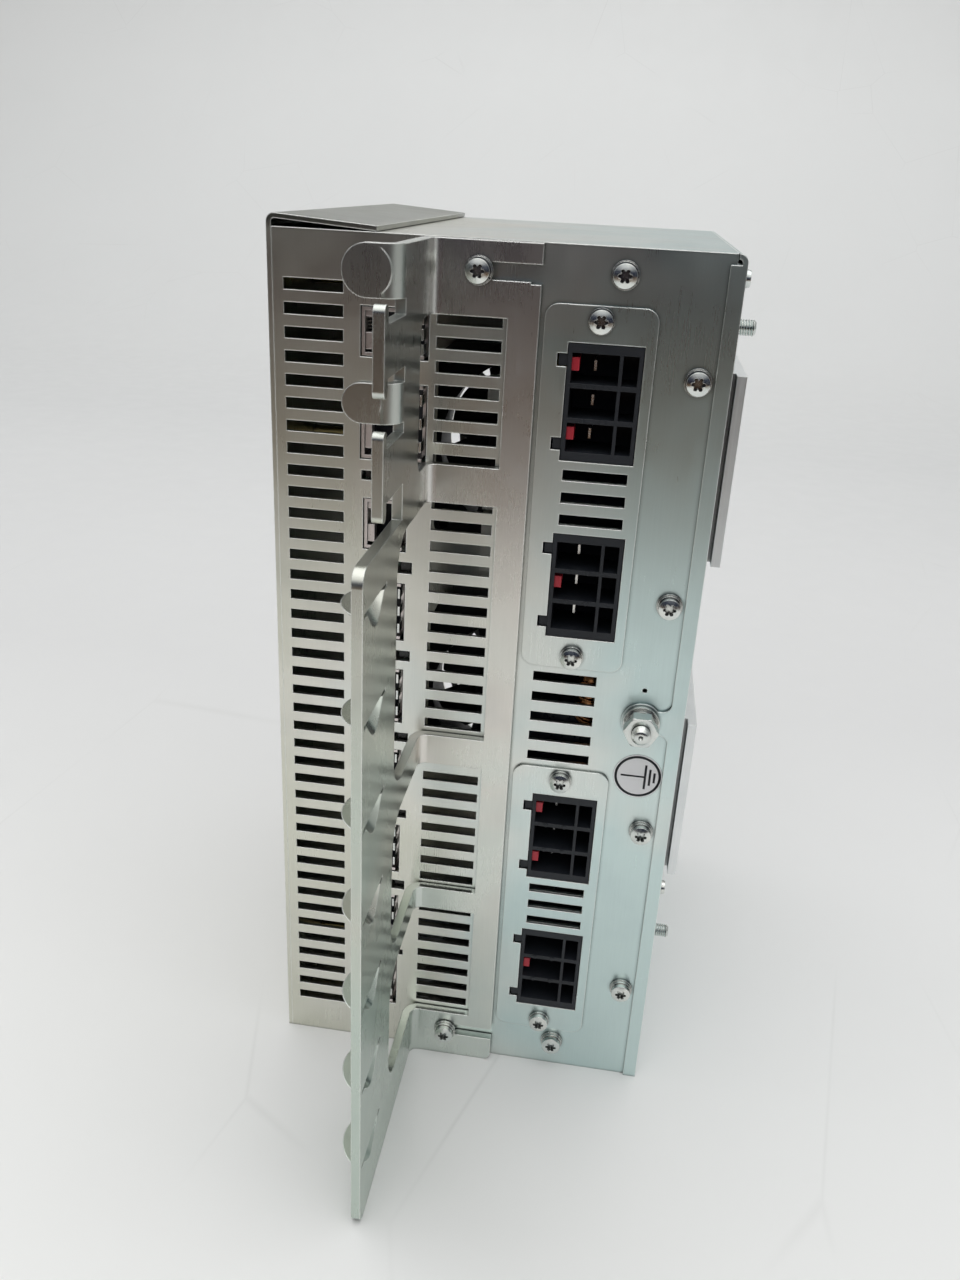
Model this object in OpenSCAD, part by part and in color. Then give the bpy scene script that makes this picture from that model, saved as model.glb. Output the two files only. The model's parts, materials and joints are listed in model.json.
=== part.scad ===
/* [Case] */
// Width of the case, across the front
case_w = 137.5; // [134:0.5:145]
// Height of the case
case_h = 298; // [296:0.5:304]
// Depth of the case, front face to back face
case_d = 156; // [150:1:180]
// Thickness of the case sheet
sheet = 1.5; // [1:0.1:1.6]
// Outer bend radius of the side covers
bend_r = 2.5; // [2:0.1:4]

/* [Vent slots] */
// Distance from one row of slots to the next
row_pitch = 7; // [6.8:0.1:7.1]
// Height of one slot
slot_h = 3.4; // [2.5:0.1:4]
// Rows in the left column
left_rows = 39; // [30:1:39]
// Rows in the middle column
middle_rows = 37; // [30:1:37]

/* [Power connectors] */
// Width of a connector cut-out
conn_w = 22.3; // [21:0.1:23]
// Height of a connector cut-out
conn_h = 34.7; // [33:0.1:36]
// Distance between poles
pole_pitch = 10.16; // [10:0.01:10.5]
// Depth of the sockets
conn_depth = 21; // [18:1:26]

/* [Signal jacks] */
// Width of a jack cut-out
jack_w = 14.1; // [13:0.1:15]
// Depth of the jacks
jack_depth = 17; // [14:1:22]

/* [Cable bracket] */
// Thickness of the bracket sheet
brk_t = 3; // [2:0.5:3]
// How far the cable plate stands out from the case
brk_reach = 82; // [75:1:95]
// Distance between the cable-tie louvers
tie_pitch = 31.5; // [30:0.5:32]
// How far a louver bulges
tie_bulge = 6; // [4:0.5:7]

/* [Earth stud] */
// Radius of the earth stud
earth_r = 3; // [2.5:0.5:4]
// How far the stud stands out of the case
earth_len = 12.5; // [11:0.5:16]

/* [Fans] */
// Side of a fan frame
fan_size = 80; // [70:1:80]
// Depth of a fan frame
fan_depth = 25; // [20:1:25]

/* [Hidden] */
$fn = 48;

// Case planes: the origin is the middle of the case's underside
front_y = -case_d / 2;
back_y = case_d / 2;
side_x = case_w / 2;
fit_gap = 0.3;

// Vent slots on the front
first_row_z = 284.2;
left_slot_x = [-63.9, -45.8];
middle_slot_x = [-17.6, 1.8];
plate_slot_w = 19.6;
gap_slot_x = [18.2, 39];
gap_slot_pitch = 7.4;
gap_slot_count = 5;

// Connector plates and the sockets behind them
plate_w = 32.6;
plate_h = 113.4;
plate_x = 30.2;
plate_z = [225.3, 74];
plate_t = 1;
plate_corner_r = 4;
plate_screw_inset = 4.2;
conn_x = 32.3;
conn_offset_z = 28.75;
conn_z = [for (z = plate_z, s = [1, -1]) z + s * conn_offset_z];
notch_w = 2.9;
notch_h = 3.8;
notch_z = 12.3;
socket_wall = 1.2;
socket_floor = 4;
chamber_h = 8.7;
chamber_split = 0.74;
pin_recess = 8;

// Jacks and their windows
bus_w = 20.8;
bus_x = -30.2;
bus_1_z = [262.9, 277.7];
bus_2_z = [231.8, 255.7];
jack_x = -32.5;
jack_top = [219.5, 191.9, 161.2, 130.4, 99.7, 69, 41.1];
jack_height = [17, 20.3, 20.3, 20.3, 20.3, 20.3, 23.3];
light_x = [-40.1, -23.3];
light_z = [[225.2, 228.3], [195.3, 199.3], [164.3, 168.1], [133.6, 137.2],
           [102.8, 106.2], [71.9, 75.8], [41.9, 44.3]];
control_board_x = -43;
jack_wall = 1;
jack_gap = 1.5;
spring_reach = 6;

// Cable bracket, measured outward from the front face
brk_x = -18.7;
brk_top = 297.8;
brk_right = 12.5;
brk_gap = fit_gap;
brk_bend_r = 3;
brk_window_z = [[20, 67.9], [76.7, 128.5], [139.3, 221], [233, 277]];
brk_window_right = 3.4;
brk_window_reach = 43;
brk_top_window_reach = 18;
brk_plate_top = 225.3;
brk_neck_y = 38;
brk_slot_z = [12.4, 289.7];
brk_slot_h = 4.8;
brk_screw_x = -5.3;
lug_head_y = [58, 62];
lug_z = [[231, 254.6], [262.7, 285.1]];
lug_notch = 4.7;
tab_z = [[252.7, 263.4], [284.5, brk_top]];
tab_end_r = [5.3, 6.5];
tab_left = -34.3;
tie_z0 = 23.6;
tie_count = 7;
tie_y = [57, 79.5];
tie_slit = 1;
tie_fall = 7;

// Fasteners
m4_r = 2;
m4_head_r = 3.4;
m4_head_h = 2.6;
m4_washer_r = 4.1;
m4_washer_t = 0.8;
m4_spring_r = 3.8;
m4_spring_t = 1;
m4_length = 10;
star_r = 2;
case_screw_xz = [[35.7, 290.5], [35.7, 11.3],
                 [59.3, 262.5], [59.3, 193.2], [59.3, 109.7], [59.3, 40.9]];
plate_screw_xz = [for (z = plate_z, s = [1, -1]) [plate_x, z + s * (plate_h / 2 - plate_screw_inset)]];

// Earth point, and the thickness of the sheet lap under it
lap_t = 1;
earth_x = 54.9;
earth_z = 152;
earth_washer_r = 6;
earth_washer_t = 1.6;
earth_spring_r = 5.2;
earth_spring_t = 1.6;
earth_nut_af = 10;
earth_nut_h = 5;
earth_nut_y = front_y - lap_t - earth_washer_t - earth_spring_t;
earth_tip_r = earth_r - 0.3;
label_x = 55.95;
label_z = 131;
label_r = 8.15;
label_t = 0.2;

// Right side: front lap, cooling blocks and studs
lap_w = 4.6;
tongue_h = 8.6;
sink_z = [[79.7, 142.1], [200.6, 262]];
sink_y = [front_y + 20, 60];
sink_x = [55.5, 75];
sink_groove = 1.6;
stud_y = front_y + 25;
stud_z = [50, 275.8];
stud_r = 2.5;
stud_collar_r = 2.8;
stud_proud = 7;
side_screw_yz = [[front_y + 8, 291], [front_y + 8, 82]];
side_screw_r = 1.5;

// Left cover's lap over the top
lid_w = 33;
lid_rise = 1.2;

// Boards
board_t = 1.6;
board_y = [front_y + 8, 44];
power_board_x = 46.5;
driver_board_x = 4;
driver_board_z = [60, 268];
driver_board_y = [front_y + 24, 40];

// Fans on the back panel
fan_z = [90, 208];
fan_hole_pitch = 71.5 * fan_size / 80;
fan_bore_r = 38 * fan_size / 80;
fan_blade_r = 36.6 * fan_size / 80;
fan_hub_r = 18 * fan_size / 80;
fan_shaft_r = 1.5;
fan_play = 0.05;
fan_back_y = back_y - sheet;
fan_front_y = fan_back_y - fan_depth;
blade_count = 7;
grille_gap = 3.5;
grille_wall = 3;

// 2D shape (x, z) made into a slab that starts at y0
module along_y(y0, length)
    translate([0, y0 + length, 0]) rotate([90, 0, 0]) linear_extrude(length) children();

// 2D shape (y, z) made into a slab that starts at x0
module along_x(x0, length)
    translate([x0, 0, 0]) rotate([90, 0, 90]) linear_extrude(length) children();

// Rectangle between two ranges
module span(a, b) translate([a[0], b[0]]) square([a[1] - a[0], b[1] - b[0]]);

// Centred rectangle with round corners
module round_rect(w, h, r) {
    square([w - 2 * r, h], center = true);
    square([w, h - 2 * r], center = true);
    for (sx = [-1, 1], sz = [-1, 1])
        translate([sx * (w / 2 - r), sz * (h / 2 - r)]) circle(r, $fn = 32);
}

// Box between three ranges
module block(x, y, z)
    translate([x[0], y[0], z[0]]) cube([x[1] - x[0], y[1] - y[0], z[1] - z[0]]);

// Round bar along Y from y0 to y1
module rod_y(x, z, y0, y1, r)
    translate([x, y0, z]) rotate([-90, 0, 0]) cylinder(h = y1 - y0, r = r);

// Round bar along X from x0 to x1
module rod_x(y, z, x0, x1, r)
    translate([x0, y, z]) rotate([0, 90, 0]) cylinder(h = x1 - x0, r = r);

// Pan head screw with a six-lobed recess; its seat is at y, and it points into the case
module pan_screw(x, z, y, length, r, head_r, head_h) {
    dome = head_h * 0.35;
    dome_r = head_r * 2.6;
    difference() {
        union() {
            rod_y(x, z, y, y + length, r);
            rod_y(x, z, y - head_h + dome, y, head_r);
            translate([x, y - head_h + dome, z]) rotate([90, 0, 0])
                rotate_extrude() intersection() {
                    translate([0, dome - dome_r]) circle(dome_r, $fn = 96);
                    square([head_r, dome]);
                }
        }
        for (a = [0:60:300])
            translate([x, y - head_h - 1, z]) rotate([0, a, 0]) rotate([-90, 0, 0])
                translate([star_r * 0.74, 0, 0]) cylinder(h = 2.9, r = star_r * 0.28, $fn = 16);
        rod_y(x, z, y - head_h - 1, y - head_h + 1.9, star_r * 0.68);
    }
}

// Split spring washer that stands out from y
module spring_washer(x, z, y, inner_r, r, t)
    difference() {
        rod_y(x, z, y - t, y, r);
        rod_y(x, z, y - t - 1, y + 1, inner_r);
        translate([x, y - t / 2, z]) rotate([0, 30, 12])
            translate([r, 0, 0]) cube([r * 1.6, t * 3, 0.5], center = true);
    }

// Flat washer with a spring washer on it
module washer_pair(x, z, y, inner_r, flat_r, flat_t, spring_r, spring_t) {
    difference() {
        rod_y(x, z, y - flat_t, y, flat_r);
        rod_y(x, z, y - flat_t - 1, y + 1, inner_r);
    }
    spring_washer(x, z, y - flat_t, inner_r, spring_r, spring_t);
}

// Slots of the three columns
module vent_slots() {
    for (i = [0:left_rows - 1])
        span(left_slot_x, [first_row_z - slot_h, first_row_z] - [1, 1] * row_pitch * i);
    for (i = [1:middle_rows])
        span(middle_slot_x, [first_row_z - slot_h, first_row_z] - [1, 1] * row_pitch * i);
    for (i = [0:gap_slot_count - 1])
        span(gap_slot_x, [165.9 - slot_h, 165.9] - [1, 1] * gap_slot_pitch * i);
}

// The three slots between a plate's two connectors
module plate_slots(z)
    for (i = [-1:1]) translate([conn_x, z + i * row_pitch]) square([plate_slot_w, slot_h], center = true);

// Cut-out for a power connector, with the two latch notches
module connector_cutout(z, margin = 0)
    translate([conn_x, z]) {
        square([conn_w + 2 * margin, conn_h + 2 * margin], center = true);
        for (s = [-1, 1]) translate([-conn_w / 2 - notch_w / 2, s * notch_z])
            square([notch_w + 0.02 + 2 * margin, notch_h + 2 * margin], center = true);
    }

function jack_span(i) = [jack_top[i] - jack_height[i], jack_top[i]];

// Cut-outs for the jacks and the light windows
module jack_cutouts() {
    span([bus_x - bus_w / 2, bus_x + bus_w / 2], bus_1_z);
    span([bus_x - bus_w / 2, bus_x + bus_w / 2], bus_2_z);
    for (i = [0:6]) {
        span([jack_x - jack_w / 2, jack_x + jack_w / 2], jack_span(i));
        span(light_x, light_z[i]);
    }
}

// Corner left free for the right cover's bend
module bend_corner()
    span([side_x - bend_r - 0.2, side_x], [case_h - bend_r - 0.2, case_h + 1]);

module front_panel() color([0.72, 0.75, 0.73]) {
    return_d = 12;
    inner_x = side_x - sheet;
    difference() {
        along_y(front_y, sheet) difference() {
            span([-inner_x, inner_x], [0, case_h]);
            bend_corner();
            vent_slots();
            jack_cutouts();
            for (z = plate_z) plate_slots(z);
            for (z = conn_z) connector_cutout(z, 0.4);
            translate([earth_x, 163]) circle(0.8);
        }
        for (p = case_screw_xz) rod_y(p[0], p[1], front_y - 1, front_y + 3, m4_r);
        for (p = plate_screw_xz) rod_y(p[0], p[1], front_y - 1, front_y + 3, m4_r);
        for (z = brk_slot_z) rod_y(brk_screw_x, z, front_y - 1, front_y + 3, m4_r);
        rod_y(earth_x, earth_z, front_y - 1, front_y + 3, earth_r);
    }
    // returns along both sides
    difference() {
        for (s = [-1, 1])
            block([s * inner_x - (s + 1) / 2 * sheet, s * inner_x + (1 - s) / 2 * sheet],
                  [front_y + sheet, front_y + return_d], [sheet, case_h - bend_r]);
        for (p = side_screw_yz) rod_x(p[0], p[1], inner_x - 3, inner_x + 1, side_screw_r);
    }
}

// Left side sheet, lapping over the top panel
module left_cover() color([0.66, 0.69, 0.68]) {
    lid_tilt = atan(lid_rise / lid_w);
    block([-side_x, -side_x + sheet], [front_y, back_y], [0, case_h + lid_rise]);
    // bend into the lid
    translate([-side_x + bend_r, back_y, case_h + lid_rise]) rotate([90, 0, 0])
        linear_extrude(case_d) intersection() {
            difference() { circle(bend_r); circle(bend_r - sheet); }
            translate([-bend_r, 0]) square(bend_r);
        }
    translate([-side_x + bend_r - 0.05, front_y, case_h + lid_rise + bend_r - sheet])
        rotate([0, lid_tilt * 1.8, 0]) cube([lid_w - bend_r, case_d, sheet]);
}

// Right side sheet, bent over at its top, with the front lap, the earth tongue and two cooling windows
module right_cover() color([0.7, 0.74, 0.72]) {
    window_gap = 0.5;
    difference() {
        union() {
            block([side_x - sheet, side_x], [front_y - lap_t, back_y], [0, case_h - bend_r]);
            block([side_x - lap_w, side_x - sheet], [front_y - lap_t, front_y], [0, case_h - bend_r - 0.5]);
            translate([side_x - bend_r, back_y, case_h - bend_r]) rotate([90, 0, 0])
                linear_extrude(case_d + lap_t) intersection() {
                    difference() { circle(bend_r); circle(bend_r - sheet); }
                    square(bend_r);
                }
            along_y(front_y - lap_t, lap_t) {
                span([earth_x, side_x - lap_w], [earth_z - tongue_h / 2, earth_z + tongue_h / 2]);
                translate([earth_x, earth_z]) circle(earth_washer_r + 0.6);
            }
            // concave corners of the tongue
            along_y(front_y - lap_t, lap_t) for (s = [-1, 1]) difference() {
                span([side_x - lap_w - 3, side_x - lap_w],
                     [earth_z + (s > 0 ? tongue_h / 2 : -tongue_h / 2 - 3),
                      earth_z + (s > 0 ? tongue_h / 2 + 3 : -tongue_h / 2)]);
                translate([side_x - lap_w - 3, earth_z + s * (tongue_h / 2 + 3)]) circle(3);
            }
        }
        rod_y(earth_x, earth_z, front_y - 3, front_y + 1, earth_r);
        for (z = sink_z)
            block([side_x - 3, side_x + 1], [sink_y[0] - window_gap, sink_y[1] + window_gap],
                  [z[0] - window_gap, z[1] + window_gap]);
        for (z = stud_z) rod_x(stud_y, z, side_x - 3, side_x + 1, stud_collar_r);
        for (p = side_screw_yz) rod_x(p[0], p[1], side_x - 3, side_x + 1, side_screw_r);
    }
}

module top_panel() color([0.78, 0.79, 0.77]) {
    inner_x = side_x - sheet;
    block([-inner_x, side_x - bend_r], [front_y + sheet, back_y - sheet], [case_h - sheet, case_h]);
    block([inner_x - 2 * sheet, inner_x - sheet], [front_y + 14, back_y - 14],
          [case_h - 12, case_h - sheet]);
}

module bottom_panel() color([0.7, 0.72, 0.7]) {
    inner_x = side_x - sheet;
    slot_count = 9;
    difference() {
        block([-inner_x, inner_x], [front_y + sheet, back_y - sheet], [0, sheet]);
        for (i = [0:slot_count - 1], s = [-1, 1])
            translate([s * 34, front_y + 22 + i * 13, sheet / 2])
                cube([34, 4, 2 * sheet], center = true);
    }
}

// Rings and bars left standing in a fan opening
module grille_2d() {
    step = grille_gap + grille_wall;
    difference() {
        circle(fan_bore_r);
        for (r = [fan_hub_r:step:fan_bore_r - grille_wall]) difference() {
            circle(r + grille_wall);
            circle(r);
        }
        circle(grille_wall);
        for (a = [45, 135]) rotate(a) square([2 * fan_bore_r, grille_wall], center = true);
    }
}

module back_panel() color([0.7, 0.73, 0.71])
    difference() {
        along_y(back_y - sheet, sheet) difference() {
            span([-side_x + sheet, side_x - sheet], [0, case_h]);
            bend_corner();
            for (z = fan_z) translate([0, z]) grille_2d();
        }
        for (z = fan_z, sx = [-1, 1], sz = [-1, 1])
            rod_y(sx * fan_hole_pitch / 2, z + sz * fan_hole_pitch / 2, back_y - 4, back_y + 1, m4_r);
    }

module connector_plate(z) color([0.68, 0.68, 0.66]) difference() {
    along_y(front_y - plate_t, plate_t) difference() {
        translate([plate_x, z]) round_rect(plate_w, plate_h, plate_corner_r);
        plate_slots(z);
        for (s = [-1, 1]) connector_cutout(z + s * conn_offset_z);
    }
    for (p = plate_screw_xz) rod_y(p[0], p[1], front_y - 4, front_y + 1, m4_r);
}
module connector_plate_upper() connector_plate(plate_z[0]);
module connector_plate_lower() connector_plate(plate_z[1]);

// Three-pole socket housing, set just inside its cut-out and soldered to the power board
module power_connector(z) color([0.04, 0.045, 0.05]) {
    play = 0.25;
    mouth_y = front_y - plate_t + 0.2;
    w = conn_w - 2 * play;
    h = conn_h - 2 * play;
    difference() {
        union() {
            block([conn_x - w / 2, conn_x + w / 2], [mouth_y, mouth_y + conn_depth], [z - h / 2, z + h / 2]);
            block([conn_x + w / 2, power_board_x], [front_y + 8, mouth_y + conn_depth],
                  [z - h / 2, z + h / 2]);
            for (s = [-1, 1])
                block([conn_x - w / 2 - notch_w + play, conn_x - w / 2], [mouth_y + 0.5, mouth_y + 6],
                      [z + s * notch_z - notch_h / 2 + play, z + s * notch_z + notch_h / 2 - play]);
        }
        for (i = [-1:1]) {
            chamber = [z + i * pole_pitch - chamber_h / 2, z + i * pole_pitch + chamber_h / 2];
            left = conn_x - w / 2 + socket_wall;
            right = conn_x + w / 2 - socket_wall;
            split = left + (right - left) * chamber_split;
            block([left, split - 0.5], [mouth_y - 1, mouth_y + conn_depth - socket_floor], chamber);
            block([split + 0.5, right], [mouth_y - 1, mouth_y + conn_depth - socket_floor - 4], chamber);
            pole_pin(z + i * pole_pitch);
        }
    }
    // guide pips on the ribs
    for (i = [-0.5, 0.5], x = [-3.2, 3.2])
        rod_y(conn_x - 2.5 + x, z + i * pole_pitch, mouth_y - 0.4, mouth_y + 0.6, 0.7);
}
module power_connector_1() power_connector(conn_z[0]);
module power_connector_2() power_connector(conn_z[1]);
module power_connector_3() power_connector(conn_z[2]);
module power_connector_4() power_connector(conn_z[3]);

// Blade of one pole, at height z
module pole_pin(z)
    block([conn_x - 3.4, conn_x - 2.6], [front_y - plate_t + pin_recess, front_y + conn_depth + 3],
          [z - 1.6, z + 1.6]);

module power_pins() color([0.85, 0.83, 0.78])
    for (z = conn_z, i = [-1:1]) pole_pin(z + i * pole_pitch);

// Coloured keys in the sockets: top and bottom pole, or the middle pole
module coding_keys() color([0.75, 0.12, 0.12]) {
    keyed = [[1, -1], [0], [1, -1], [0]];
    left = conn_x - conn_w / 2 + socket_wall + 0.25;
    for (n = [0:3], i = keyed[n]) {
        z = conn_z[n] + i * pole_pitch;
        block([left, left + 2.2], [front_y - plate_t + 1.4, front_y + 9], [z - 0.9, z + 2.9]);
    }
}

// Shielded jack: a box round a cavity that opens at the front
module jack(x, w, z) color([0.74, 0.70, 0.69]) {
    mouth_y = front_y + 0.4;
    play = 0.35;
    right = x + w / 2 - jack_gap;
    difference() {
        block([x - w / 2 + play, right], [mouth_y, mouth_y + jack_depth], [z[0] + play, z[1] - play]);
        block([x - w / 2 + play + jack_wall, right - jack_wall],
              [mouth_y - 1, mouth_y + jack_depth - 3], [z[0] + play + jack_wall, z[1] - play - jack_wall]);
        block([right - jack_wall - 0.1, right + 1], [mouth_y - 1, mouth_y + spring_reach],
              [z[0] + play + jack_wall, z[1] - play - jack_wall]);
    }
    block([control_board_x, x - w / 2 + play], [front_y + 8, mouth_y + jack_depth], [z[0] + 2, z[1] - 2]);
}
module bus_jack_1() jack(bus_x, bus_w, bus_1_z);
module bus_jack_2() jack(bus_x, bus_w, bus_2_z);
module signal_jack(i) jack(jack_x, jack_w, jack_span(i));
module signal_jack_1() signal_jack(0);
module signal_jack_2() signal_jack(1);
module signal_jack_3() signal_jack(2);
module signal_jack_4() signal_jack(3);
module signal_jack_5() signal_jack(4);
module signal_jack_6() signal_jack(5);
module signal_jack_7() signal_jack(6);

function all_jacks() = concat([[bus_x, bus_w, bus_1_z], [bus_x, bus_w, bus_2_z]],
                              [for (i = [0:6]) [jack_x, jack_w, jack_span(i)]]);

// Row of contact wires in each jack
module jack_contacts() color([0.83, 0.68, 0.35]) {
    count = 8;
    pitch = 1.02;
    for (j = all_jacks(), k = [0:count - 1]) {
        left = j[0] - j[1] / 2 + 1.35;
        z = (j[2][0] + j[2][1]) / 2 + (k - (count - 1) / 2) * pitch;
        block([left, left + 1.2], [front_y + 4, front_y + jack_depth - 2.6], [z - 0.2, z + 0.2]);
    }
}

// Shield springs that carry on forward from the right wall of each jack
module jack_springs() color([0.8, 0.8, 0.78])
    for (j = all_jacks(), s = [-1:1]) {
        right = j[0] + j[1] / 2 - jack_gap;
        z = (j[2][0] + j[2][1]) / 2 + s * (j[2][1] - j[2][0]) * 0.3;
        block([right - jack_wall, right - 0.3], [front_y + 0.8, front_y + 0.4 + spring_reach],
              [z - 1.6, z + 1.6]);
    }

module status_lights() color([0.07, 0.07, 0.07])
    for (z = light_z, x = [-37.6, -31.7, -25.8])
        block([x - 1.6, x + 1.6], [front_y + 2.5, front_y + 7], [z[0] + 0.3, z[1] - 0.3]);

module earth_stud() color([0.75, 0.75, 0.72]) difference() {
    union() {
        rod_y(earth_x, earth_z, front_y - earth_len, earth_nut_y - earth_nut_h, earth_tip_r);
        rod_y(earth_x, earth_z, earth_nut_y - earth_nut_h, front_y + sheet, earth_r);
        rod_y(earth_x, earth_z, front_y + sheet, front_y + sheet + 2.5, earth_r * 1.7);
    }
    translate([earth_x, front_y - earth_len - 0.01, earth_z]) rotate([-90, 0, 0])
        cylinder(h = 0.8, r1 = 0.8, r2 = 0.1);
}

module earth_washers() color([0.7, 0.71, 0.7])
    washer_pair(earth_x, earth_z, front_y - lap_t, earth_r + 0.01, earth_washer_r, earth_washer_t,
                earth_spring_r, earth_spring_t);

module earth_nut() color([0.72, 0.72, 0.7]) {
    corner_r = earth_nut_af / sqrt(3);
    difference() {
        intersection() {
            translate([earth_x, earth_nut_y, earth_z]) rotate([90, 0, 0])
                cylinder(h = earth_nut_h, r = corner_r, $fn = 6);
            translate([earth_x, earth_nut_y, earth_z]) rotate([90, 0, 0]) rotate_extrude() polygon([
                [0, 0], [corner_r - 0.5, 0], [corner_r + 0.1, 0.5], [corner_r + 0.1, earth_nut_h - 0.5],
                [corner_r - 0.6, earth_nut_h], [0, earth_nut_h]]);
        }
        rod_y(earth_x, earth_z, earth_nut_y - earth_nut_h - 1, earth_nut_y + 1, earth_r + 0.01);
    }
}

module earth_label() color([0.9, 0.9, 0.9]) rod_y(label_x, label_z, front_y - label_t, front_y, label_r);

// Screws of the front face, each on a flat and a spring washer
module case_screws() color([0.82, 0.83, 0.82])
    for (p = case_screw_xz)
        pan_screw(p[0], p[1], front_y - m4_washer_t - m4_spring_t, m4_length, m4_r, m4_head_r, m4_head_h);
module case_washers() color([0.7, 0.72, 0.71])
    for (p = case_screw_xz)
        washer_pair(p[0], p[1], front_y, m4_r + 0.01, m4_washer_r, m4_washer_t, m4_spring_r, m4_spring_t);
module plate_screws() color([0.84, 0.84, 0.83])
    for (p = plate_screw_xz)
        pan_screw(p[0], p[1], front_y - plate_t - m4_spring_t, m4_length - 2, m4_r, m4_head_r, m4_head_h);
module plate_washers() color([0.7, 0.72, 0.71])
    for (p = plate_screw_xz)
        spring_washer(p[0], p[1], front_y - plate_t, m4_r + 0.01, m4_spring_r, m4_spring_t);

// Screws that clamp the cable bracket through its open slots
brk_face_y = front_y - brk_gap - brk_t - fit_gap;
module bracket_screws() color([0.82, 0.83, 0.82])
    for (z = brk_slot_z)
        pan_screw(brk_screw_x, z, brk_face_y - m4_washer_t - m4_spring_t, m4_length + 4,
                  m4_r, m4_head_r, m4_head_h);
module bracket_washers() color([0.7, 0.72, 0.71])
    for (z = brk_slot_z)
        washer_pair(brk_screw_x, z, brk_face_y, m4_r + 0.01, m4_washer_r, m4_washer_t,
                    m4_spring_r, m4_spring_t);

// Cable plate's outline (outward distance, z), with the tie lugs on its upper edge
module web_outline() {
    corner = 4.5;
    translate([(brk_reach + brk_bend_r + brk_t) / 2, brk_plate_top / 2])
        round_rect(brk_reach - brk_bend_r - brk_t, brk_plate_top, corner);
    span([brk_bend_r + brk_t, brk_bend_r + brk_t + corner], [0, brk_plate_top]);
    span([brk_bend_r + brk_t, brk_neck_y], [brk_plate_top - corner, brk_top]);
    for (z = lug_z) {
        span([brk_neck_y - 1, lug_head_y[0]], [z[0] + lug_notch, z[1] - lug_notch]);
        translate([(lug_head_y[0] + lug_head_y[1]) / 2, (z[0] + z[1]) / 2])
            round_rect(lug_head_y[1] - lug_head_y[0], z[1] - z[0], 1.9);
    }
}

// Windows of the cable plate, round at their outer corners
module web_windows() {
    outer_r = 12;
    for (z = brk_window_z) {
        top = z == brk_window_z[3];
        reach = top ? brk_top_window_reach : brk_window_reach;
        r = top ? 5 : outer_r;
        span([-1, reach - r], z);
        span([reach - r - 0.01, reach], [z[0] + r, z[1] - r]);
        for (c = [z[0] + r, z[1] - r]) translate([reach - r, c]) circle(r);
    }
}

// Upright cone that stands out of the plate at the top of a louver and ends inside it lower down
module louver_form(z, inset) {
    mid_y = (tie_y[0] + tie_y[1]) / 2;
    louver_half = (tie_y[1] - tie_y[0]) / 2;
    top_r = (louver_half * louver_half + tie_bulge * tie_bulge) / (2 * tie_bulge);
    below = 1.2 * tie_fall;
    above = tie_slit / 2;
    translate([brk_x - brk_t - tie_bulge + top_r, front_y - mid_y, z - below])
        cylinder(h = below + above, r1 = top_r - inset - tie_bulge * below / tie_fall,
                 r2 = top_r - inset + tie_bulge * above / tie_fall, $fn = 64);
}

module cable_bracket() color([0.70, 0.69, 0.66]) {
    flange_y = front_y - brk_gap - brk_t;
    bend_x = brk_x + brk_bend_r;
    bend_y = flange_y - brk_bend_r;
    // flange on the case, with its windows and the two open slots
    along_y(flange_y, brk_t) difference() {
        union() {
            span([bend_x, brk_right - 3], [0, brk_top]);
            span([brk_right - 4, brk_right], [3, brk_slot_z[1] - 3]);
            span([brk_right - 4, brk_right], [brk_slot_z[1], brk_top]);
            translate([brk_right - 3, 3]) circle(3);
        }
        for (z = brk_window_z) span([bend_x - 1, brk_window_right], z);
        for (z = brk_slot_z) {
            span([brk_screw_x, brk_right + 1], [z - brk_slot_h / 2, z + brk_slot_h / 2]);
            translate([brk_screw_x - 0.2, z]) circle(brk_slot_h / 2);
        }
    }
    // bend between the flange and the cable plate
    difference() {
        translate([bend_x, bend_y, 0]) linear_extrude(brk_top) intersection() {
            difference() { circle(brk_bend_r + brk_t); circle(brk_bend_r); }
            translate([-brk_bend_r - brk_t, 0]) square(brk_bend_r + brk_t);
        }
        for (z = brk_window_z)
            block([brk_x - 9, bend_x + 1], [bend_y - 1, flange_y + brk_t + 1], z);
    }
    // cable plate with the tie louvers
    difference() {
        translate([0, front_y - brk_gap, 0]) mirror([0, 1, 0])
            along_x(brk_x - brk_t, brk_t) difference() { web_outline(); web_windows(); }
        for (k = [0:tie_count - 1]) {
            z = tie_z0 + k * tie_pitch;
            louver_form(z, brk_t);
            block([brk_x - 9, brk_x + 1], [front_y - tie_y[1] - 1, front_y - tie_y[0] + 1],
                  [z - 0.3, z + tie_slit]);
        }
    }
    for (k = [0:tie_count - 1]) {
        z = tie_z0 + k * tie_pitch;
        difference() {
            intersection() {
                louver_form(z, 0);
                block([brk_x - 12, brk_x - brk_t + 0.5], [front_y - tie_y[1] - 1, front_y - tie_y[0] + 1],
                      [z - 2 * tie_fall, z]);
            }
            louver_form(z, brk_t);
        }
    }
    // two tabs bent away from the plate's edge
    tab_bend_x = brk_x - brk_bend_r - brk_t;
    for (n = [0, 1]) {
        z = tab_z[n];
        r = tab_end_r[n];
        translate([tab_bend_x, front_y - brk_gap - brk_neck_y, z[0]])
            linear_extrude(z[1] - z[0]) intersection() {
            difference() { circle(brk_bend_r + brk_t); circle(brk_bend_r); }
            translate([0, -brk_bend_r - brk_t]) square(brk_bend_r + brk_t);
        }
        along_y(front_y - brk_gap - brk_neck_y - brk_bend_r - brk_t, brk_t) {
            span([tab_left + r, tab_bend_x], z);
            span([tab_left, tab_left + r + 0.01], [z[0] + r, z[1] - r]);
            for (c = [z[0] + r, z[1] - r]) translate([tab_left + r, c]) circle(r);
        }
    }
}

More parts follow.
